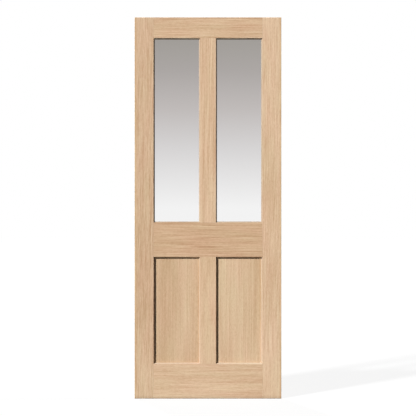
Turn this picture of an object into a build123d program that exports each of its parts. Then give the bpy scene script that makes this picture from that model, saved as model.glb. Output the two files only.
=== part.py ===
"""A glazed interior door leaf: a stile and rail frame, two clear panes above and two flat panels below.

X runs from the hinge edge to the lock edge, the front of the leaf faces -Y, and Z is up from its foot.
"""

import os

from build123d import *

# The leaf
door_width = 762.0
door_height = 1981.0
door_thickness = 35.0

# Flat faces of the frame members, from arris to arris
stile_face = 98.0
muntin_face = 82.0
top_rail_face = 107.0
lock_rail_face = 177.0
bottom_rail_face = 180.0
panel_opening_height = 557.0

# The outer arrises of the leaf, eased all round
leaf_arris = 2.0

# Solid strips glued to the outer edges of the stiles
lipping_width = 8.0

# The moulded edge round every opening: a splay down to the sight line, then a groove
splay_width = 6.0
groove_depth = 10.0
tongue_gap = 1.0

# The fine vee along every shoulder, where a rail or muntin meets its neighbours
joint_vee = 0.5

# Flat panels, loose in their grooves
panel_thickness = 9.0
panel_fit = 0.1
panel_edge_gap = 1.5

# Panes, taped into rebates and held by beads at the back
glass_thickness = 4.0
glass_edge_gap = 3.0
tape_thickness = 1.5
bead_fit = 0.2

# Depths, measured from the middle of the leaf
half_leaf = door_thickness / 2
half_groove = panel_thickness / 2 + panel_fit
glass_front = tape_thickness - half_groove
glass_back = glass_front + glass_thickness
bead_front = glass_back + tape_thickness

# Openings across the leaf
middle = door_width / 2
half_muntin = muntin_face / 2
opening_width = (door_width - muntin_face) / 2 - stile_face
opening_middles = {
    "left": stile_face + opening_width / 2,
    "right": door_width - stile_face - opening_width / 2,
}
sight_width = opening_width - 2 * splay_width
floor_width = sight_width + 2 * groove_depth

# Rails and openings up the leaf
lock_rail_foot = bottom_rail_face + panel_opening_height
lock_rail_head = lock_rail_foot + lock_rail_face
top_rail_foot = door_height - top_rail_face
panel_middle = (bottom_rail_face + lock_rail_foot) / 2
pane_middle = (lock_rail_head + top_rail_foot) / 2
panel_sight_height = panel_opening_height - 2 * splay_width
pane_sight_height = top_rail_foot - lock_rail_head - 2 * splay_width
rebate_height = pane_sight_height + 2 * groove_depth

# How far a tongue reaches past the arris of the member it is housed in
tongue_reach = groove_depth - splay_width - tongue_gap


def square_edge(arris):
    """Points (reach, depth) of a plain edge, from the front of the leaf to its back."""
    return [(arris, -half_leaf), (arris, half_leaf)]


def moulded_edge(arris, toward):
    """Points (reach, depth) of a splayed and grooved edge, from the front of the leaf to its back.

    The flat face ends at arris, and the opening lies toward 1 or -1 from there.
    """
    sight = arris + toward * splay_width
    groove_floor = sight - toward * groove_depth
    front_half = [(arris, -half_leaf), (sight, -half_groove), (groove_floor, -half_groove)]
    return front_half + [(reach, -depth) for reach, depth in reversed(front_half)]


def edges_on_faces(member, direction):
    """The edges of a member that lie along a direction on the front or the back of the leaf."""
    by_depth = member.edges().filter_by(direction).group_by(Axis.Y)
    return by_depth[0] + by_depth[-1]


# Rebates for the panes, open to the back of the leaf
with BuildPart() as rebates:
    with Locations([(x, half_leaf, pane_middle) for x in opening_middles.values()]):
        Box(
            floor_width,
            half_leaf + half_groove,
            rebate_height,
            align=(Align.CENTER, Align.MAX, Align.CENTER),
        )

# Stiles
with BuildPart() as hinge_stile:
    with BuildSketch(Plane.XY):
        with BuildLine():
            Polyline(*square_edge(lipping_width), *reversed(moulded_edge(stile_face, 1)), close=True)
        make_face()
    extrude(amount=door_height)
    add(rebates.part, mode=Mode.SUBTRACT)

with BuildPart() as lock_stile:
    mirror(hinge_stile.part, about=Plane.YZ.offset(middle))

# Lippings, eased round the front and back of the leaf
with BuildPart() as hinge_edge_lipping:
    Box(lipping_width, door_thickness, door_height, align=(Align.MIN, Align.CENTER, Align.MIN))
    upright_arrises = hinge_edge_lipping.edges().filter_by(Axis.Z).group_by(Axis.X)[0]
    end_arrises = hinge_edge_lipping.edges().filter_by(Axis.X)
    fillet(upright_arrises + end_arrises, radius=leaf_arris)

with BuildPart() as lock_edge_lipping:
    mirror(hinge_edge_lipping.part, about=Plane.YZ.offset(middle))

# Rails run from tongue to tongue, drawn in a section with its first axis up and its second to the back
rail_start = stile_face - tongue_reach
rail_end = door_width - rail_start
rail_section = Plane(origin=(rail_end, 0, 0), x_dir=(0, 0, 1), z_dir=(-1, 0, 0))


def make_rail(foot_edge, head_edge):
    """A rail between two edges, coped at both ends to the stiles and rebated where panes meet it."""
    with BuildPart() as rail:
        with BuildSketch(rail_section):
            with BuildLine():
                Polyline(*foot_edge, *reversed(head_edge), close=True)
            make_face()
        extrude(amount=rail_end - rail_start)
        add([hinge_stile.part, lock_stile.part, rebates.part], mode=Mode.SUBTRACT)
        face_edges = edges_on_faces(rail, Axis.Z).group_by(Axis.X)
        chamfer(face_edges[0] + face_edges[-1], length=joint_vee)
    return rail


top_rail = make_rail(moulded_edge(top_rail_foot, -1), square_edge(door_height))
lock_rail = make_rail(moulded_edge(lock_rail_foot, -1), moulded_edge(lock_rail_head, 1))
bottom_rail = make_rail(square_edge(0), moulded_edge(bottom_rail_face, 1))


def make_muntin(rail_below, head_below, rail_above, foot_above):
    """A muntin from tongue to tongue, coped to the rails below and above it."""
    with BuildPart() as muntin:
        with BuildSketch(Plane.XY.offset(head_below - tongue_reach)):
            with BuildLine():
                Polyline(
                    *moulded_edge(middle - half_muntin, -1),
                    *reversed(moulded_edge(middle + half_muntin, 1)),
                    close=True,
                )
            make_face()
        extrude(amount=foot_above - head_below + 2 * tongue_reach)
        add([rail_below.part, rail_above.part, rebates.part], mode=Mode.SUBTRACT)
        face_edges = edges_on_faces(muntin, Axis.X).group_by(Axis.Z)
        chamfer(face_edges[0] + face_edges[-1], length=joint_vee)
    return muntin


lower_muntin = make_muntin(bottom_rail, bottom_rail_face, lock_rail, lock_rail_foot)
upper_muntin = make_muntin(lock_rail, lock_rail_head, top_rail, top_rail_foot)

# Panels and panes stand upright in their openings, drawn on planes that face the back of the leaf
panel_overlap = 2 * (groove_depth - panel_edge_gap)
pane_width = floor_width - 2 * glass_edge_gap
pane_height = rebate_height - 2 * glass_edge_gap


def upright(x, y, z):
    """A plane across the leaf at a point, with its first axis to the lock edge and its normal to the back."""
    return Plane(origin=(x, y, z), x_dir=(1, 0, 0), z_dir=(0, 1, 0))


def make_panel(x):
    """A flat panel, tongued all round into the grooves of its opening."""
    with BuildPart() as panel:
        with BuildSketch(upright(x, -panel_thickness / 2, panel_middle)):
            Rectangle(sight_width + panel_overlap, panel_sight_height + panel_overlap)
        extrude(amount=panel_thickness)
    return panel


def make_pane(x):
    """A clear pane, clear of the rebate all round."""
    with BuildPart() as pane:
        with BuildSketch(upright(x, glass_front, pane_middle)):
            Rectangle(pane_width, pane_height)
        extrude(amount=glass_thickness)
    return pane


def make_tape(x, y):
    """Glazing tape round one face of a pane, flush with the sight line."""
    with BuildPart() as tape:
        with BuildSketch(upright(x, y, pane_middle)):
            Rectangle(pane_width, pane_height)
            Rectangle(sight_width, pane_sight_height, mode=Mode.SUBTRACT)
        extrude(amount=tape_thickness)
    return tape


# Beads are drawn in section from the rebate floor to the sight line, and mitred at both ends
bead_section = [
    (bead_fit, bead_front),
    (groove_depth, bead_front),
    (groove_depth, half_groove),
    (groove_depth - splay_width, half_leaf),
    (bead_fit, half_leaf),
]
bead_sides = {
    "hinge_side": Vector(1, 0, 0),
    "lock_side": Vector(-1, 0, 0),
    "foot": Vector(0, 0, 1),
    "head": Vector(0, 0, -1),
}


def make_bead(x, inward):
    """One bead of a pane: inward points from its rebate floor to the middle of the pane."""
    run = inward.cross(Vector(0, 1, 0))
    reach = abs(inward.X) * floor_width / 2 + abs(inward.Z) * rebate_height / 2
    half_run = abs(run.X) * floor_width / 2 + abs(run.Z) * rebate_height / 2
    foot_of_bead = Vector(x, 0, pane_middle) - inward * reach
    with BuildPart() as bead:
        with BuildSketch(Plane(origin=foot_of_bead, x_dir=inward, z_dir=run)):
            with BuildLine():
                Polyline(*bead_section, close=True)
            make_face()
        extrude(amount=half_run, both=True)
        for end in (run, -run):
            mitre = Plane(origin=foot_of_bead + end * half_run, z_dir=end + inward)
            split(bisect_by=mitre, keep=Keep.BOTTOM)
    return bead


def eased_ends(member):
    """A frame member with its arrises eased at the head and foot of the leaf, once its joints are cut."""
    with BuildPart() as eased:
        add(member.part)
        face_edges = edges_on_faces(eased, Axis.X)
        foot_arrises = face_edges.filter_by_position(Axis.Z, -leaf_arris, leaf_arris)
        head_arrises = face_edges.filter_by_position(Axis.Z, door_height - leaf_arris, door_height + leaf_arris)
        fillet(foot_arrises + head_arrises, radius=leaf_arris)
    return eased


pieces = {
    "hinge_stile": eased_ends(hinge_stile),
    "lock_stile": eased_ends(lock_stile),
    "hinge_edge_lipping": hinge_edge_lipping,
    "lock_edge_lipping": lock_edge_lipping,
    "top_rail": eased_ends(top_rail),
    "lock_rail": lock_rail,
    "bottom_rail": eased_ends(bottom_rail),
    "upper_muntin": upper_muntin,
    "lower_muntin": lower_muntin,
}
for side, x in opening_middles.items():
    pieces[f"{side}_panel"] = make_panel(x)
    pieces[f"{side}_pane"] = make_pane(x)
    pieces[f"{side}_front_tape"] = make_tape(x, -half_groove)
    pieces[f"{side}_back_tape"] = make_tape(x, glass_back)
    for bead_side, inward in bead_sides.items():
        pieces[f"{side}_pane_{bead_side}_bead"] = make_bead(x, inward)

os.makedirs("parts", exist_ok=True)
for name, piece in pieces.items():
    piece.part.label = name
    export_step(piece.part, f"parts/{name}.step")
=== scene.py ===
# %% [markdown]
# # A glazed interior door leaf
# The leaf is one flat frame of oak: two stiles, three rails and two muntins, with two clear panes above the
# lock rail and two flat panels below it. Its solids come from the CAD model, in metres and in their final
# places, so this lesson is about finishes and light: oak veneer, solid oak edges, wood filler, glass,
# glazing tape and a white studio. Objects are measured in metres, the figures of a material in millimetres.

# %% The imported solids
import math

import bmesh
import bpy
from mathutils import Matrix, Vector


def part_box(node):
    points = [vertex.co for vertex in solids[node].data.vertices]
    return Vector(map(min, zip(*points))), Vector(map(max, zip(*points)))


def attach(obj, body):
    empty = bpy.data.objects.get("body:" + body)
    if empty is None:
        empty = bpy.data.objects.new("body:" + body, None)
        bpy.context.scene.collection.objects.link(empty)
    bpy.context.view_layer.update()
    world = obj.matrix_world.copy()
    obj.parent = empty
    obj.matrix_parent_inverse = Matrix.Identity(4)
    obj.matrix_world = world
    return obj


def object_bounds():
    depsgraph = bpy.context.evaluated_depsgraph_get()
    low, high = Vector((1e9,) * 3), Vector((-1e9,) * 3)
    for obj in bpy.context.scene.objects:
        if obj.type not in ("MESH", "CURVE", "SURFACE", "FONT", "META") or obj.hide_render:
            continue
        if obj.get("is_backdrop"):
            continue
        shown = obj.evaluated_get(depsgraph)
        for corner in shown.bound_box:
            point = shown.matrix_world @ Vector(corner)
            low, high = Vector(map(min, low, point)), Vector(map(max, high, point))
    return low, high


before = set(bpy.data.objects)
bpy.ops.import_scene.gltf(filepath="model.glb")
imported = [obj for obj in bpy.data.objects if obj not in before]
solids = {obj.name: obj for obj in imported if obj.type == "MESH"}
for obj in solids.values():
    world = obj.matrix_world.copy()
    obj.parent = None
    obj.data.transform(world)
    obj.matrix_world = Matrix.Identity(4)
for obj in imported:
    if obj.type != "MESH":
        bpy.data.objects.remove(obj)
cad_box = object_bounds()
leaf_low, leaf_high = cad_box
leaf_size = leaf_high - leaf_low
print("leaf in mm:", [round(1000 * side) for side in leaf_size], "from", len(solids), "solids")

# %% [markdown]
# ## The camera
# The leaf is seen square-on and its upright lines stay upright, as through a long lens from metres away. A
# short lens close by would show the sides of the openings too, so this one is 100 mm long. Its distance
# follows from how much of the room the square picture shows: the leaf takes about 381 of its 416 pixels.

# %% Camera
picture_pixels = 416
leaf_pixels = 381.4
shown_height = leaf_size.z * picture_pixels / leaf_pixels
pixel_size = 1000 * shown_height / picture_pixels
long_lens = bpy.data.cameras.new("front_view")
long_lens.lens = 100
long_lens.sensor_width = 36
distance = shown_height * long_lens.lens / long_lens.sensor_width
leaf_middle = (leaf_low + leaf_high) / 2
camera = bpy.data.objects.new("front_view", long_lens)
camera.location = (leaf_middle.x, leaf_low.y - distance, leaf_middle.z)
camera.rotation_euler = (math.radians(90), 0, 0)
scene = bpy.context.scene
scene.collection.objects.link(camera)
scene.camera = camera
print(f"camera {distance:.2f} m in front of the leaf, {pixel_size:.2f} mm to a pixel")

# %% [markdown]
# ## Colours
# Colours are easiest to choose as the hex codes of a colour picker, which are sRGB values. Shaders calculate
# with linear light, so one function turns a code to linear. It can multiply each channel by a gain as well:
# that is how one tone of oak gets its darker and paler relatives further on.

# %% From hex code to linear light
white = (1, 1, 1, 1)
black = (0, 0, 0, 1)


def linear(hex_code, gain=(1, 1, 1)):
    """The linear colour of an sRGB hex code, each channel multiplied by its gain."""
    channels = [int(hex_code[i : i + 2], 16) / 255 for i in (1, 3, 5)]
    light = [c / 12.92 if c <= 0.04045 else ((c + 0.055) / 1.055) ** 2.4 for c in channels]
    return tuple(c * g for c, g in zip(light, gain)) + (1,)


print("a pale oak, #d6b695, in linear light:", [round(c, 3) for c in linear("#d6b695")])

# %% [markdown]
# ## Nodes
# A material is a tree of nodes. Placing and joining every node line by line would bury a finish under its
# wiring, so one small function adds a node, sets it up, joins whatever is given as another node's socket,
# and lays out the stops of a colour ramp from its lowest to its highest.
#
# Sockets go by name or by number. Numbers are needed where one name stands for several kinds of data: a Mix
# of colours has its share at 0, its colours at 6 and 7 and its result at 2. Map Range takes a value, the
# ends of the range that it comes from and the ends of its new range as 0 to 4. Multiply Add takes a number,
# its factor and what is added as 0 to 2.


# %% Adding nodes and giving finishes
def add_node(tree, kind, sockets=None, stops=(), **settings):
    """A new node: sockets are values or sockets to join, stops the positions and colours of a ramp."""
    node = tree.nodes.new("ShaderNode" + kind)
    for setting, value in settings.items():
        setattr(node, setting, value)
    for socket, value in (sockets or {}).items():
        if isinstance(value, bpy.types.NodeSocket):
            tree.links.new(value, node.inputs[socket])
        else:
            node.inputs[socket].default_value = value
    if stops:
        ramp = node.color_ramp.elements
        for end, (position, colour) in zip(ramp, (stops[0], stops[-1])):
            end.position = position
            end.color = colour
        for position, colour in stops[1:-1]:
            ramp.new(position).color = colour
    return node


def new_material(name):
    """An empty material, its node tree and its Principled shader."""
    material = bpy.data.materials.new(name)
    material.use_nodes = True
    return material, material.node_tree, material.node_tree.nodes["Principled BSDF"]


def finish_with(material, *names):
    """Gives CAD solids a material."""
    for name in names:
        mesh = solids[name].data
        mesh.materials.clear()
        mesh.materials.append(material)
    print(f"{material.name}: {len(material.node_tree.nodes)} nodes, on {', '.join(names)}")


print(len(solids), "solids to finish")

# %% [markdown]
# ## Oak
# The frame and the panels are veneered with straight-grained oak, and beads and lippings are solid oak, all
# under a matt lacquer. What the eye sees is layered: slow clouds of paler and darker wood, streaks, growth
# lines that start, lean and fade, flecks and fibre between them, and the open pores of oak as short dark
# dashes. A Wave texture would draw lines that are all alike, so every layer is noise, stretched along the
# grain. The next cells each add one step of the finish.
#
# ### A place on the board
# The first step finds where a point lies on its own board: across the grain, through the board and along
# the grain. The grain of upright pieces runs along Z, that of rails along X, and it may lean by a small
# slope. Every board starts at its own place in the noise, further from the next than the leaf is thick, so
# no line runs on across a joint.


# %% A place on the board
def place_on_board(tree, axes, grain, lean, start):
    """Where a point lies across, through and along its board, which starts so many metres into the noise."""
    across, along = (axes["X"], axes["Z"]) if grain == "Z" else (axes["Z"], axes["X"])
    across = add_node(tree, "Math", {0: along, 1: -lean, 2: across}, operation="MULTIPLY_ADD").outputs[0]
    board = add_node(tree, "CombineXYZ", {"X": across, "Y": axes["Y"], "Z": along}).outputs[0]
    offset = (start, start / 2, start / 3)
    return add_node(tree, "VectorMath", {0: board, 1: offset}, operation="ADD").outputs[0]


print(f"boards lie {1000 * leaf_size.y:.0f} mm deep in the noise")

# %% [markdown]
# ### Figure and sway
# A figure in wood is narrow across the grain and long along it. A Mapping node could stretch the noise by
# scales found by trial, but real sizes are easier to judge: noise of scale 1 changes about once in every
# unit, so a place divided by a width and a length gives noise of that size. Trees don't grow quite straight,
# so a wide and slow figure of that kind first bends all lines of a board a few millimetres aside.

# %% Figure and sway
sway_size = (125, 500)
sway_low = 0.2
sway_high = 0.8


def figure_of(tree, board, size):
    """Noise as wide across the grain and as long along it as a size in mm."""
    width, length = size
    per_metre = (1000 / width, 1000 / width, 1000 / length)
    place = add_node(tree, "VectorMath", {0: board, 1: per_metre}, operation="MULTIPLY").outputs[0]
    return add_node(tree, "TexNoise", {"Vector": place, "Scale": 1.0, "Detail": 1.0}).outputs[0]


def swayed(tree, board, sway):
    """Places on a board whose lines sway to both sides by so many mm."""
    bend = figure_of(tree, board, sway_size)
    sockets = {0: bend, 1: sway_low, 2: sway_high, 3: -sway / 1000, 4: sway / 1000}
    aside = add_node(tree, "MapRange", sockets).outputs[0]
    aside = add_node(tree, "CombineXYZ", {"X": aside}).outputs[0]
    return add_node(tree, "VectorMath", {0: board, 1: aside}, operation="ADD").outputs[0]


print("lines sway about once in", sway_size[1], "mm")

# %% [markdown]
# ### The layers
# Growth lines of oak lie 1 to 3 mm apart, its pores are a few tenths of a millimetre wide, and its fibres
# are finer still. A pixel of the picture is 5 mm wide, so all of these are drawn coarser than they are, just
# coarse enough to show. Clouds, and the run of the growth lines, differ from board to board. The layers are
# then added up, by a weight for each, to one shade: 0.5 is the board's own tone, and less is darker.

# %% The layers of the figure
# In mm: widths across the grain, or widths and lengths
growth_width = 3.8
streak_width = 12
streak_runs = 3
fleck_size = (3.0, 18)
fibre_size = (1.2, 40)
pore_size = (0.5, 8)
blush_size = (55, 260)
fleck_weight = 0.45
fibre_weight = 0.25


def layers_of(tree, board, run, clouds):
    """The layers of a board's figure, with clouds of a size in mm and growth lines that run so many mm."""
    sizes = {
        "clouds": clouds,
        "streaks": (streak_width, streak_runs * run),
        "growth": (growth_width, run),
        "flecks": fleck_size,
        "fibre": fibre_size,
        "pores": pore_size,
        "blush": blush_size,
    }
    return {layer: figure_of(tree, board, size) for layer, size in sizes.items()}


def shade_of(tree, layers, weights):
    """The layers added up by their weights, to a shade with its middle at 0.5."""
    shade = 0.5 - 0.5 * sum(weights.values())
    for layer, weight in weights.items():
        sockets = {0: layers[layer], 1: weight, 2: shade}
        shade = add_node(tree, "Math", sockets, operation="MULTIPLY_ADD").outputs[0]
    return shade


print(f"growth lines are {growth_width / pixel_size:.2f} pixels wide, pores {pore_size[0] / pixel_size:.2f}")

# %% [markdown]
# ### From shade to colour
# Dark grain isn't only dimmer than pale grain, it is warmer too: blue falls off faster than red. So a ramp
# takes a shade to gains on the tone, one each for red, green and blue. Oak also shifts a little between pink
# and olive over a few fingers' breadth, which one more layer lays over it as a tint. Pores hold stain and
# dust, so they are mixed over both as dark dashes.

# %% From shade to colour
grain_gains = [(0.2, (0.81, 0.71, 0.65)), (0.5, (1, 1, 1)), (0.8, (1.16, 1.25, 1.30))]
pink_tint = (1.018, 0.990, 1.0, 1)
olive_tint = (0.982, 1.009, 0.984, 1)
blush_tints = [(0.3, pink_tint), (0.7, olive_tint)]
pore_gain = (0.50, 0.44, 0.38)


def wood_colour(tree, tone, shade, blush, pore):
    """The colour of a board of one tone: its grain by shade, a tint by blush, and dark pores."""
    stops = [(position, linear(tone, gain)) for position, gain in grain_gains]
    grain = add_node(tree, "ValToRGB", {0: shade}, stops).outputs[0]
    tint = add_node(tree, "ValToRGB", {0: blush}, blush_tints).outputs[0]
    sockets = {0: 1.0, 6: grain, 7: tint}
    wood = add_node(tree, "Mix", sockets, data_type="RGBA", blend_type="MULTIPLY").outputs[2]
    sockets = {0: pore, 6: wood, 7: linear(tone, pore_gain)}
    return add_node(tree, "Mix", sockets, data_type="RGBA").outputs[2]


print("red, green and blue gains of the darkest grain:", grain_gains[0][1])

# %% [markdown]
# ### The foot, with painted shade
# Along the foot of the leaf the wood is darker, as painted shade. A mask painted on the mesh would need a
# finer mesh than this one. The height over the floor does the same: it is Z in the coordinates of every
# piece, and the painted shade fades out with it within a finger's breadth.

# %% Painted shade along the foot
# Painted shade along the foot of the leaf: its height in mm, its share and its darkening gain
foot_shade_height = 18
foot_shade_share = 0.33
foot_shade_gain = (0.3, 0.3, 0.3)


def shaded_foot(tree, surface, height, tone):
    """The colour of a surface, darkened by painted shade towards the foot of the leaf."""
    sockets = {0: height, 1: 0.0, 2: foot_shade_height / 1000, 3: foot_shade_share, 4: 0.0}
    foot_shade = add_node(tree, "MapRange", sockets).outputs[0]
    sockets = {0: foot_shade, 6: surface, 7: linear(tone, foot_shade_gain)}
    return add_node(tree, "Mix", sockets, data_type="RGBA").outputs[2]


print(f"painted_shade over the lowest {foot_shade_height / pixel_size:.1f} pixels of the leaf")

# %% [markdown]
# ### The splays, with painted light and shade
# Round every opening the face of the frame slopes down in a splay, cut into the edge of the member. The
# splays carry painted light and shade as a tint: a darker one on uprights dims the highlight on their lit
# splays, and a whiter one on rails lightens the shaded heads and the highlight on the lit feet. A splay is
# part of the same solid as the face beside it, so a second material would need its faces picked out one by
# one. Their direction does that: only on a splay does the normal point to the front or back by about two
# fifths. A ramp makes a mask of that share, and the mask lays the tint over the splays.

# %% Painted light and shade on the splays
splay_width = 0.0060
splay_depth = 0.0129
splay_mask = [(0.30, black), (0.36, white), (0.54, white), (0.60, black)]
# Painted shade on the splays of uprights, painted light on the splays of rails
upright_splay_shade = (0.80, 0.86, 0.94, 1)
level_splay_light = (0.92, 1.03, 1.15, 1)


def splay_light_and_shade(tree, surface, to_front, tint):
    """The colour of a surface with painted light and shade on its splays, found by the share of the normal
    along Y.
    """
    mask = add_node(tree, "ValToRGB", {0: to_front}, splay_mask).outputs[0]
    sockets = {0: mask, 6: surface, 7: tint}
    return add_node(tree, "Mix", sockets, data_type="RGBA", blend_type="MULTIPLY").outputs[2]


print(f"splays face the front or back by {splay_width / math.hypot(splay_width, splay_depth):.2f}")

# %% [markdown]
# ### The sawn ends
# At its head and foot the leaf is sawn off square. Solid pieces show their end grain there, which drinks the
# lacquer and turns darker. Veneered members show their core of softwood blocks, glued side by side. The
# blocks could be solids of their own, but only their ends ever show, so they are drawn: White Noise gives
# every block a tone from nothing but its number along X.

# %% The sawn ends
end_grain_gain = (0.62, 0.56, 0.48)
dark_block = "#c7a478"
pale_block = "#dcc49c"
sawn_from = 0.97
sawn_to = 0.99
sawn_share = 0.75


def core_colour(tree, x, block_width):
    """Softwood blocks of a width in mm, each in its own tone."""
    block = add_node(tree, "Math", {0: x, 1: 1000 / block_width}, operation="MULTIPLY").outputs[0]
    block = add_node(tree, "Math", {0: block}, operation="FLOOR").outputs[0]
    block = add_node(tree, "TexWhiteNoise", {"W": block}, noise_dimensions="1D").outputs["Value"]
    sockets = {0: block, 6: linear(dark_block), 7: linear(pale_block)}
    return add_node(tree, "Mix", sockets, data_type="RGBA").outputs[2]


def sawn_ends(tree, surface, upward, sawn_colour):
    """The colour of a surface with another one where it faces straight up or down."""
    sockets = {0: upward, 1: sawn_from, 2: sawn_to, 3: 0.0, 4: sawn_share}
    sawn = add_node(tree, "MapRange", sockets).outputs[0]
    sockets = {0: sawn, 6: surface, 7: sawn_colour}
    return add_node(tree, "Mix", sockets, data_type="RGBA").outputs[2]


print("core blocks from", dark_block, "to", pale_block)

# %% [markdown]
# ### Lacquered oak
# The last step puts these together for one board. A coat layer over the wood could stand for the lacquer,
# but matt lacquer lies too thin to show a surface of its own. It mirrors little, follows the fibre and sinks
# into the pores, so the shader's own gloss and a bump of a fifth of a millimetre do, with pale wood a touch
# glossier than dark. Its IOR is about 1.5, set on the shader itself because it is the same all over.

# %% Lacquered oak
pore_from = 0.60
pore_to = 0.68
pore_share = 0.45
relief_depth = 0.2
relief_strength = 0.25
dark_shade = 0.3
pale_shade = 0.7
dark_roughness = 0.58
pale_roughness = 0.50


def oak(name, tone, start, grain="Z", lean=0.0, sway=2.5, run=130, clouds=(300, 400),
        cloudy=0.3, streaked=0.12, lined=0.9, core=0, painted_splays=False):
    """Oak under matt lacquer, for a board that starts at its own place in the noise.

    The grain runs along an axis and leans by a slope. In mm: how far its lines sway and run, the width and
    length of its clouds, and the blocks of its core, if it has one. Cloudy, streaked and lined are weights.
    """
    material, tree, shader = new_material(name)
    axes = add_node(tree, "SeparateXYZ", {0: add_node(tree, "TexCoord").outputs["Object"]}).outputs
    normal = add_node(tree, "NewGeometry").outputs["Normal"]
    facing = add_node(tree, "VectorMath", {0: normal}, operation="ABSOLUTE").outputs[0]
    facing = add_node(tree, "SeparateXYZ", {0: facing}).outputs

    board = swayed(tree, place_on_board(tree, axes, grain, lean, start), sway)
    layers = layers_of(tree, board, run, clouds)
    weights = {
        "clouds": cloudy,
        "streaks": streaked,
        "growth": lined,
        "flecks": fleck_weight,
        "fibre": fibre_weight,
    }
    shade = shade_of(tree, layers, weights)
    sockets = {0: layers["pores"], 1: pore_from, 2: pore_to, 3: 0.0, 4: pore_share}
    pore = add_node(tree, "MapRange", sockets).outputs[0]

    surface = wood_colour(tree, tone, shade, layers["blush"], pore)
    # Painted shade along the foot of the leaf
    surface = shaded_foot(tree, surface, axes["Z"], tone)
    # Painted light and shade on the splays of the frame
    if painted_splays:
        surface = splay_light_and_shade(tree, surface, facing["Y"], upright_splay_shade if grain == "Z" else level_splay_light)
    sawn_colour = core_colour(tree, axes["X"], core) if core else linear(tone, end_grain_gain)
    surface = sawn_ends(tree, surface, facing["Z"], sawn_colour)

    sockets = {0: pore, 1: -1.0, 2: layers["fibre"]}
    relief = add_node(tree, "Math", sockets, operation="MULTIPLY_ADD").outputs[0]
    sockets = {"Strength": relief_strength, "Distance": relief_depth / 1000, "Height": relief}
    bump = add_node(tree, "Bump", sockets).outputs[0]
    sockets = {0: shade, 1: dark_shade, 2: pale_shade, 3: dark_roughness, 4: pale_roughness}
    roughness = add_node(tree, "MapRange", sockets).outputs[0]
    tree.links.new(surface, shader.inputs["Base Color"])
    tree.links.new(roughness, shader.inputs["Roughness"])
    tree.links.new(bump, shader.inputs["Normal"])
    shader.inputs["IOR"].default_value = 1.5
    shader.inputs["Specular IOR Level"].default_value = 0.3
    return material


print("lacquer with a roughness of", pale_roughness, "on pale wood and", dark_roughness, "on dark")

# %% [markdown]
# ### Stiles and muntins
# The four uprights are cut from different leaves of veneer, so each has its own tone, lean and strength of
# lines: the hinge stile is the darkest and most clouded, the upper muntin has long streaks, and the lower
# one is plain. Their cores are strips about 30 mm wide. One material for all four would be shorter, but then
# they would look as if cut from one board.

# %% Stiles and muntins
core_strip = 30
uprights = {
    "hinge_stile": dict(
        tone="#d3b494", start=75.65, lean=0.02, run=110, clouds=(400, 600), cloudy=0.5, lined=0.82
    ),
    "lock_stile": dict(tone="#dabb9b", start=9.01, lean=0.02, run=170, clouds=(300, 300), cloudy=0.36),
    "upper_muntin": dict(tone="#daba9a", start=60.54, lean=0.01, run=260, streaked=0.45),
    "lower_muntin": dict(tone="#daba99", start=38.65, lean=0.01, run=130, lined=0.6),
}
for upright, look in uprights.items():
    finish_with(oak(f"oak_veneer_{upright}", core=core_strip, painted_splays=True, **look), upright)

# %% [markdown]
# ### Rails
# The same function finishes the rails, with their grain along X, where its lines sway more and its streaks
# are stronger than on the stiles. The lock rail is the darkest. The core of a rail lies along it, so its
# blocks show as long stretches.

# %% Rails
core_stretch = 280
rails = {
    "top_rail": dict(tone="#d6b695", start=44.13, lined=1.2),
    "lock_rail": dict(tone="#d0ae8d", start=44.7, lined=1.2),
    "bottom_rail": dict(tone="#d9b999", start=17.66, lined=0.7),
}
level_grain = dict(grain="X", sway=4, run=190, streaked=0.4)
for rail, look in rails.items():
    finish_with(oak(f"oak_veneer_{rail}", core=core_stretch, painted_splays=True, **level_grain, **look), rail)

# %% [markdown]
# ### Panels
# The two flat panels have calmer veneer than the frame: faint lines that run far, under upright clouds about
# as wide as a hand. Their edges are hidden in the grooves, so they need neither core nor moulding.

# %% Panels
panels = {
    "left_panel": dict(tone="#d1b291", start=11.53, cloudy=0.7),
    "right_panel": dict(tone="#d6b897", start=30.52, cloudy=0.5),
}
calm_grain = dict(sway=2, run=320, clouds=(100, 600), lined=0.55)
for panel, look in panels.items():
    finish_with(oak(f"oak_veneer_{panel}", **calm_grain, **look), panel)

# %% [markdown]
# ### Edges and beads
# Lippings on the outer edges and beads behind the panes are strips of solid oak, a little yellower than the
# veneer. The two upright beads of a pane share one material and the two level ones another, because grain
# turns the corner with the strip. Their splays get no painted light or shade.

# %% Edges and beads
finish_with(oak("solid_oak_hinge_edge", "#cfae88", 4.1), "hinge_edge_lipping")
finish_with(oak("solid_oak_lock_edge", "#d5b590", 4.7), "lock_edge_lipping")
for side, start in (("left", 5.3), ("right", 6.1)):
    upright_oak = oak(f"solid_oak_{side}_upright_beads", "#d3b38f", start)
    level_oak = oak(f"solid_oak_{side}_level_beads", "#d1b08c", start + 0.4, grain="X")
    finish_with(upright_oak, f"{side}_pane_hinge_side_bead", f"{side}_pane_lock_side_bead")
    finish_with(level_oak, f"{side}_pane_head_bead", f"{side}_pane_foot_bead")

# %% [markdown]
# ## Filled pin holes
# The beads are held by thin pins, punched under the surface and covered with a dab of wood filler. A dab is
# a small disc, wiped level and shrunk to a shallow dish. One disc could be placed again and again as an
# object of its own, but all the dabs are simpler to handle as one mesh. A cone operator makes each disc
# right in the shared bmesh, a matrix turns it square to the slope of its bead, and an inset sinks its cap.

# %% One dab of filler
# In metres, as all new pieces
dab_sides = 12
dab_radius = 0.0013
dab_depth = 0.0006
dab_rise = 0.00016
rim_width = 0.0004
dish_depth = 0.00010


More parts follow.
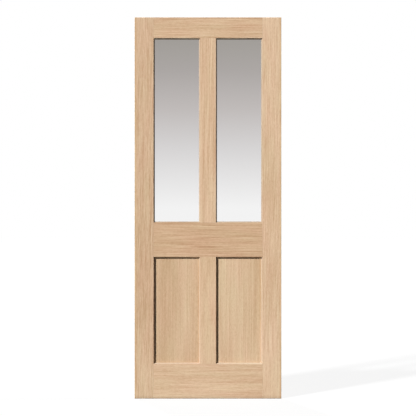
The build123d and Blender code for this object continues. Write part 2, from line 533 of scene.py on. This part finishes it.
def fill_pin_hole(shape, place, outward):
    """Adds one dished dab of filler to a bmesh, its rim just proud of a surface that faces outward."""
    turn = outward.to_track_quat("Z", "Y").to_matrix().to_4x4()
    disc = bmesh.ops.create_cone(
        shape,
        cap_ends=True,
        segments=dab_sides,
        radius1=dab_radius,
        radius2=dab_radius,
        depth=dab_depth,
        matrix=Matrix.Translation(place + outward * (dab_rise - dab_depth / 2)) @ turn,
    )
    faces = {face for vertex in disc["verts"] for face in vertex.link_faces}
    cap = max(faces, key=lambda face: face.calc_center_median().dot(outward))
    bmesh.ops.inset_individual(shape, faces=[cap], thickness=rim_width, depth=-dish_depth)


print(f"dabs {2000 * dab_radius:.1f} mm wide, {1000 * dab_rise:.2f} mm proud")

# %% [markdown]
# Pins sit halfway down the slope of a bead, which is as wide and deep as the splays of the frame. The first
# and last are a little in from its mitres and the others evenly between them, at most 220 mm apart. Each row
# could be typed in by its coordinates, but the place of a bead is known from its solid, so one loop works
# out the rows on all four sides of both panes.

# %% Rows of pins
first_pin = 0.055
pin_spacing = 0.22
to_back = Vector((0, 1, 0))
inward_from = {
    "hinge_side": Vector((1, 0, 0)),
    "lock_side": Vector((-1, 0, 0)),
    "foot": Vector((0, 0, 1)),
    "head": Vector((0, 0, -1)),
}
dabs = bmesh.new()
pins = 0
for side in ("left", "right"):
    for bead_side, inward in inward_from.items():
        low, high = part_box(f"{side}_pane_{bead_side}_bead")
        along = Vector([abs(part) for part in to_back.cross(inward)])
        sight_line = (low + high) / 2 + inward * abs((high - low).dot(inward)) / 2
        slope_middle = sight_line - inward * splay_width / 2
        slope_middle.y = high.y - splay_depth / 2
        outward = (inward * splay_depth + to_back * splay_width).normalized()
        reach = (high - low).dot(along) / 2 - first_pin
        gaps = 1 + int(2 * reach / pin_spacing)
        for pin in range(gaps + 1):
            fill_pin_hole(dabs, slope_middle + along * reach * (2 * pin / gaps - 1), outward)
        pins += gaps + 1
dab_mesh = bpy.data.meshes.new("bead_pin_fillings")
dabs.to_mesh(dab_mesh)
dabs.free()
dab_piece = bpy.data.objects.new("bead_pin_fillings", dab_mesh)
scene.collection.objects.link(dab_piece)
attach(dab_piece, "root")
print(pins, "filled pin holes with", len(dab_mesh.polygons), "faces")

# %% [markdown]
# ### Wood filler
# Filler is wood flour in a binder. It has no grain, so it shows as dull spots, darker and browner than the
# oak around them. One brown would look like paint, so noise gives it grit. Real grit is finer than a tenth
# of a millimetre, and it is drawn at 0.4 mm so that it shows.

# %% Wood filler, wiped level
grit_size = 0.4
filler_browns = [(0.3, "#a67d52"), (0.7, "#bf9668")]
filler, tree, shader = new_material("oak_wood_filler")
place = add_node(tree, "TexCoord").outputs["Object"]
grit = add_node(tree, "TexNoise", {"Vector": place, "Scale": 1000 / grit_size, "Detail": 2.0}).outputs[0]
stops = [(position, linear(brown)) for position, brown in filler_browns]
browns = add_node(tree, "ValToRGB", {0: grit}, stops).outputs[0]
tree.links.new(browns, shader.inputs["Base Color"])
shader.inputs["Roughness"].default_value = 0.75
shader.inputs["IOR"].default_value = 1.5
dab_mesh.materials.append(filler)
print(f"{filler.name}: {len(tree.nodes)} nodes, on {dab_piece.name}")

# %% [markdown]
# ## Glass
# The panes are clear toughened float glass, 4 mm thick. A Principled shader with full transmission bends and
# mirrors light as glass does. Toughening leaves faint waves in its faces, about 300 mm long, which only
# reflections show, so they are a weak bump. Noise of scale 1 goes from crest to trough in about one unit, so
# a whole wave takes two.
#
# Light that falls through glass on to wood would have to be found by caustics, which are slow and noisy. So
# shadow rays, and rays that have scattered from the wood, pass the pane through a Transparent shader.
# Diffuse Depth counts how often a ray has scattered, so anything over 0.5 is such a ray.

# %% Clear toughened glass
wave_length = 300
wave_depth = 0.5
wave_strength = 0.2
glass, tree, shader = new_material("clear_toughened_glass")
place = add_node(tree, "TexCoord").outputs["Object"]
sockets = {"Vector": place, "Scale": 2000 / wave_length, "Detail": 0.0}
waves = add_node(tree, "TexNoise", sockets).outputs[0]
sockets = {"Strength": wave_strength, "Distance": wave_depth / 1000, "Height": waves}
bump = add_node(tree, "Bump", sockets).outputs[0]
tree.links.new(bump, shader.inputs["Normal"])
shader.inputs["Base Color"].default_value = linear("#fcfdfc")
shader.inputs["Roughness"].default_value = 0.0
shader.inputs["IOR"].default_value = 1.52
shader.inputs["Transmission Weight"].default_value = 1.0
see_through = add_node(tree, "BsdfTransparent", {0: linear("#f3f5f4")}).outputs[0]
rays = add_node(tree, "LightPath").outputs
scattered = add_node(tree, "Math", {0: rays["Diffuse Depth"], 1: 0.5}, operation="GREATER_THAN").outputs[0]
passing = add_node(tree, "Math", {0: rays["Is Shadow Ray"], 1: scattered}, operation="MAXIMUM").outputs[0]
both = add_node(tree, "MixShader", {0: passing, 1: shader.outputs[0], 2: see_through}).outputs[0]
tree.links.new(both, tree.nodes["Material Output"].inputs["Surface"])
finish_with(glass, "left_pane", "right_pane")

# %% [markdown]
# ## Glazing tape
# A strip of closed-cell foam lies either side of each pane and shows as a thin dark line at the foot of the
# splays. Foam is matt, and its cut edge is full of tiny cells with paler walls. Noise would look like dirt,
# so a cell texture draws them, at 0.8 mm, which is several times as large as they are.

# %% Closed-cell glazing tape
cell_size = 0.8
foam_greys = [(0.0, "#2b2a28"), (1.0, "#474542")]
tape, tree, shader = new_material("closed_cell_glazing_tape")
place = add_node(tree, "TexCoord").outputs["Object"]
cells = add_node(tree, "TexVoronoi", {"Vector": place, "Scale": 1000 / cell_size}).outputs["Distance"]
stops = [(position, linear(grey)) for position, grey in foam_greys]
greys = add_node(tree, "ValToRGB", {0: cells}, stops).outputs[0]
tree.links.new(greys, shader.inputs["Base Color"])
shader.inputs["Roughness"].default_value = 0.85
finish_with(tape, "left_front_tape", "left_back_tape", "right_front_tape", "right_back_tape")

# %% [markdown]
# ## Lamps
# The light on the leaf comes from the upper left at about 45 degrees: the left and upper splays of every
# opening lie in shade and throw a crisp dark line, while the right and lower ones catch the light. An area
# lamp would light one end of the leaf more than the other, so a sun lamp does it, with a disc wide enough to
# soften its shadows a little. A second one lights the back for other views, from an angle at which it misses
# the splays in front of the panes, and a third grazes past both faces and lights little but the lock edge.
# Their discs are hidden from mirror images and from views through glass, where they would be white specks.


# %% Lamps
def sun(name, toward, level, disc):
    """A sun lamp shining along a direction, at a level where 1 gives a surface facing it its own colour."""
    lamp = bpy.data.lights.new(name, "SUN")
    lamp.energy = level * math.pi
    lamp.angle = math.radians(disc)
    holder = bpy.data.objects.new(name, lamp)
    holder.rotation_euler = Vector(toward).to_track_quat("-Z", "Y").to_euler()
    holder.visible_transmission = False
    holder.visible_glossy = False
    scene.collection.objects.link(holder)
    print(f"{name} at level {level}, {disc} degrees wide")


sun("key_from_upper_left", toward=(1.03, 1.0, -0.87), level=1.58, disc=5)
sun("back_from_upper_left", toward=(0.4, -1.0, -0.4), level=0.78, disc=5)
sun("side_from_right", toward=(-1.0, -0.03, -0.35), level=0.6, disc=2)

# %% [markdown]
# ## The white studio
# A world of one colour would be white behind the leaf, but it would fill every shade with light too. So
# Light Path tells the rays apart, and each kind gets its own sight of the studio. Light that scatters finds
# only a dim fill. The camera sees white, and mirror images see the white wall behind the leaf. Through a
# pane the studio shades off to grey above eye level, as it does over its lamps. What was mirrored first, in
# the lacquer of a splay or inside the glass, and then passes a pane, sees a white card low on the right.
# Diffuse Depth keeps rays that have scattered before out of all sights but the fill.


# %% Rays that the studio tells apart
def unscattered(tree, rays, kind):
    """A mask of one kind of ray, without those that have scattered before."""
    straight = add_node(tree, "Math", {0: rays["Diffuse Depth"], 1: 0.5}, operation="LESS_THAN").outputs[0]
    return add_node(tree, "Math", {0: rays[kind], 1: straight}, operation="MULTIPLY").outputs[0]


world = bpy.data.worlds.new("white_studio")
scene.world = world
world.use_nodes = True
tree = world.node_tree
rays = add_node(tree, "LightPath").outputs
through = unscattered(tree, rays, "Is Transmission Ray")
mirrored = unscattered(tree, rays, "Is Glossy Ray")
glanced = add_node(tree, "Math", {0: rays["Glossy Depth"], 1: 0.5}, operation="GREATER_THAN").outputs[0]
glanced = add_node(tree, "Math", {0: glanced, 1: through}, operation="MULTIPLY").outputs[0]
print(world.name, "tells apart rays through glass, mirrored rays and rays that are both")

# %% [markdown]
# What a ray sees depends on the direction in which it leaves the leaf, as in a real studio. The grey goes by
# the rise of a ray, from level to just above the heads of the panes. The wall begins near the plane of the
# leaf and is full 30 degrees behind it. The card fades in where rays turn to the right rather than upwards.

# %% Sights of the studio
fill_level = 0.06
card_level = 0.9
greyest_rise = 0.147
wall_from = -0.1
wall_full = 0.5
card_from = -0.2
card_full = 0.4
studio_greys = [(0.0, "#fdfcfd"), (0.34, "#e0ddde"), (0.58, "#c8c2c1"), (0.80, "#b3adab"), (1.0, "#a7a29d")]

direction = add_node(tree, "SeparateXYZ", {0: add_node(tree, "TexCoord").outputs["Generated"]}).outputs
rise = add_node(tree, "MapRange", {0: direction["Z"], 1: 0.0, 2: greyest_rise, 3: 0.0, 4: 1.0}).outputs[0]
stops = [(position, linear(grey)) for position, grey in studio_greys]
shading = add_node(tree, "ValToRGB", {0: rise}, stops).outputs[0]
sockets = {0: direction["Y"], 1: wall_from, 2: wall_full, 3: fill_level, 4: 1.0}
wall = add_node(tree, "MapRange", sockets).outputs[0]
to_right = add_node(tree, "Math", {0: direction["X"], 1: direction["Z"]}, operation="SUBTRACT").outputs[0]
sockets = {0: to_right, 1: card_from, 2: card_full, 3: fill_level, 4: card_level}
card = add_node(tree, "MapRange", sockets).outputs[0]
sights = [
    (mirrored, white, wall),
    (through, shading, 1),
    (glanced, white, card),
    (rays["Is Camera Ray"], white, 1),
]
seen = add_node(tree, "Background", {0: white, 1: fill_level}).outputs[0]
for ray, colour, strength in sights:
    backdrop = add_node(tree, "Background", {0: colour, 1: strength}).outputs[0]
    seen = add_node(tree, "MixShader", {0: ray, 1: seen, 2: backdrop}).outputs[0]
tree.links.new(seen, tree.nodes["World Output"].inputs["Surface"])
print(len(sights), "sights over a fill of", fill_level)

# %% [markdown]
# ## The floor
# The leaf stands on a sheet of white paper, wide enough to reach past every view. A paper sweep, bent up
# behind the leaf, would hide the edge, but the world is as white as the paper, so a flat sheet does. It is
# only a stage for the leaf and no part of it.

# %% A sheet of paper
floor_reach = 30
floor_mesh = bpy.data.meshes.new("floor")
sheet = bmesh.new()
bmesh.ops.create_grid(sheet, x_segments=1, y_segments=1, size=floor_reach)
sheet.to_mesh(floor_mesh)
sheet.free()
floor = bpy.data.objects.new("floor", floor_mesh)
scene.collection.objects.link(floor)
floor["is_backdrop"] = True
print("floor", 2 * floor_reach, "m square")

# %% [markdown]
# Paper that only the lamps light would look grey beside the white world and throw much light up at the leaf.
# So it is pale only to the camera and to views through a pane, and dark to light that scatters, apart from a
# strip just behind the leaf: from there light rises through the panes to the splays at their heads.

# %% Where the paper is pale
strip_from = 0.0
strip_full = 0.05
strip_fades = 1.2
strip_ends = 2.4
paper, tree, shader = new_material("white_floor")
rays = add_node(tree, "LightPath").outputs
through = unscattered(tree, rays, "Is Transmission Ray")
pale = add_node(tree, "Math", {0: rays["Is Camera Ray"], 1: through}, operation="MAXIMUM").outputs[0]
depth = add_node(tree, "SeparateXYZ", {0: add_node(tree, "TexCoord").outputs["Object"]}).outputs["Y"]
near = add_node(tree, "MapRange", {0: depth, 1: strip_from, 2: strip_full, 3: 0.0, 4: 1.0}).outputs[0]
far = add_node(tree, "MapRange", {0: depth, 1: strip_fades, 2: strip_ends, 3: 1.0, 4: 0.0}).outputs[0]
strip = add_node(tree, "Math", {0: near, 1: far}, operation="MULTIPLY").outputs[0]
strip = add_node(tree, "Math", {0: strip, 1: rays["Is Diffuse Ray"]}, operation="MULTIPLY").outputs[0]
pale = add_node(tree, "Math", {0: pale, 1: strip}, operation="MAXIMUM").outputs[0]
print("pale strip up to", strip_ends, "m behind the leaf")

# %% [markdown]
# Where the paper is pale, most of what shows is a glow of its own, as white as the world. The rest is left
# to the lamps, and that share keeps the shadow of the leaf. Through a pane the glow is a little weaker, so
# that the paper meets the studio behind it without a step.

# %% Glow and shadow
glow_share = 0.85
dimmer_through_glass = 0.16
dark_paper = (0.10, 0.10, 0.10, 1)
pale_paper = (0.8, 0.8, 0.8, 1)
paper_tone = add_node(tree, "Mix", {0: pale, 6: dark_paper, 7: pale_paper}, data_type="RGBA").outputs[2]
tree.links.new(paper_tone, shader.inputs["Base Color"])
shader.inputs["Roughness"].default_value = 1.0
shader.inputs["Specular IOR Level"].default_value = 0.0
sockets = {0: through, 1: -dimmer_through_glass, 2: 1.0}
glow_level = add_node(tree, "Math", sockets, operation="MULTIPLY_ADD").outputs[0]
glow = add_node(tree, "Emission", {0: white, 1: glow_level}).outputs[0]
share = add_node(tree, "Math", {0: pale, 1: glow_share}, operation="MULTIPLY").outputs[0]
shown = add_node(tree, "MixShader", {0: share, 1: shader.outputs[0], 2: glow}).outputs[0]
tree.links.new(shown, tree.nodes["Material Output"].inputs["Surface"])
floor_mesh.materials.append(paper)
print(f"{paper.name}: {len(tree.nodes)} nodes, {1 - glow_share:.2f} of its light left to the lamps")

# %% [markdown]
# ## Sizes
# The Standard view transform shows colours as they are written. Finishes must not make the leaf any larger,
# so the box of all that shows is printed, to set beside the box of the CAD solids printed at the start.

# %% Sizes
scene.view_settings.view_transform = "Standard"
visual_low, visual_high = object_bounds()
print("visual model in mm:", [round(1000 * side, 1) for side in visual_high - visual_low])
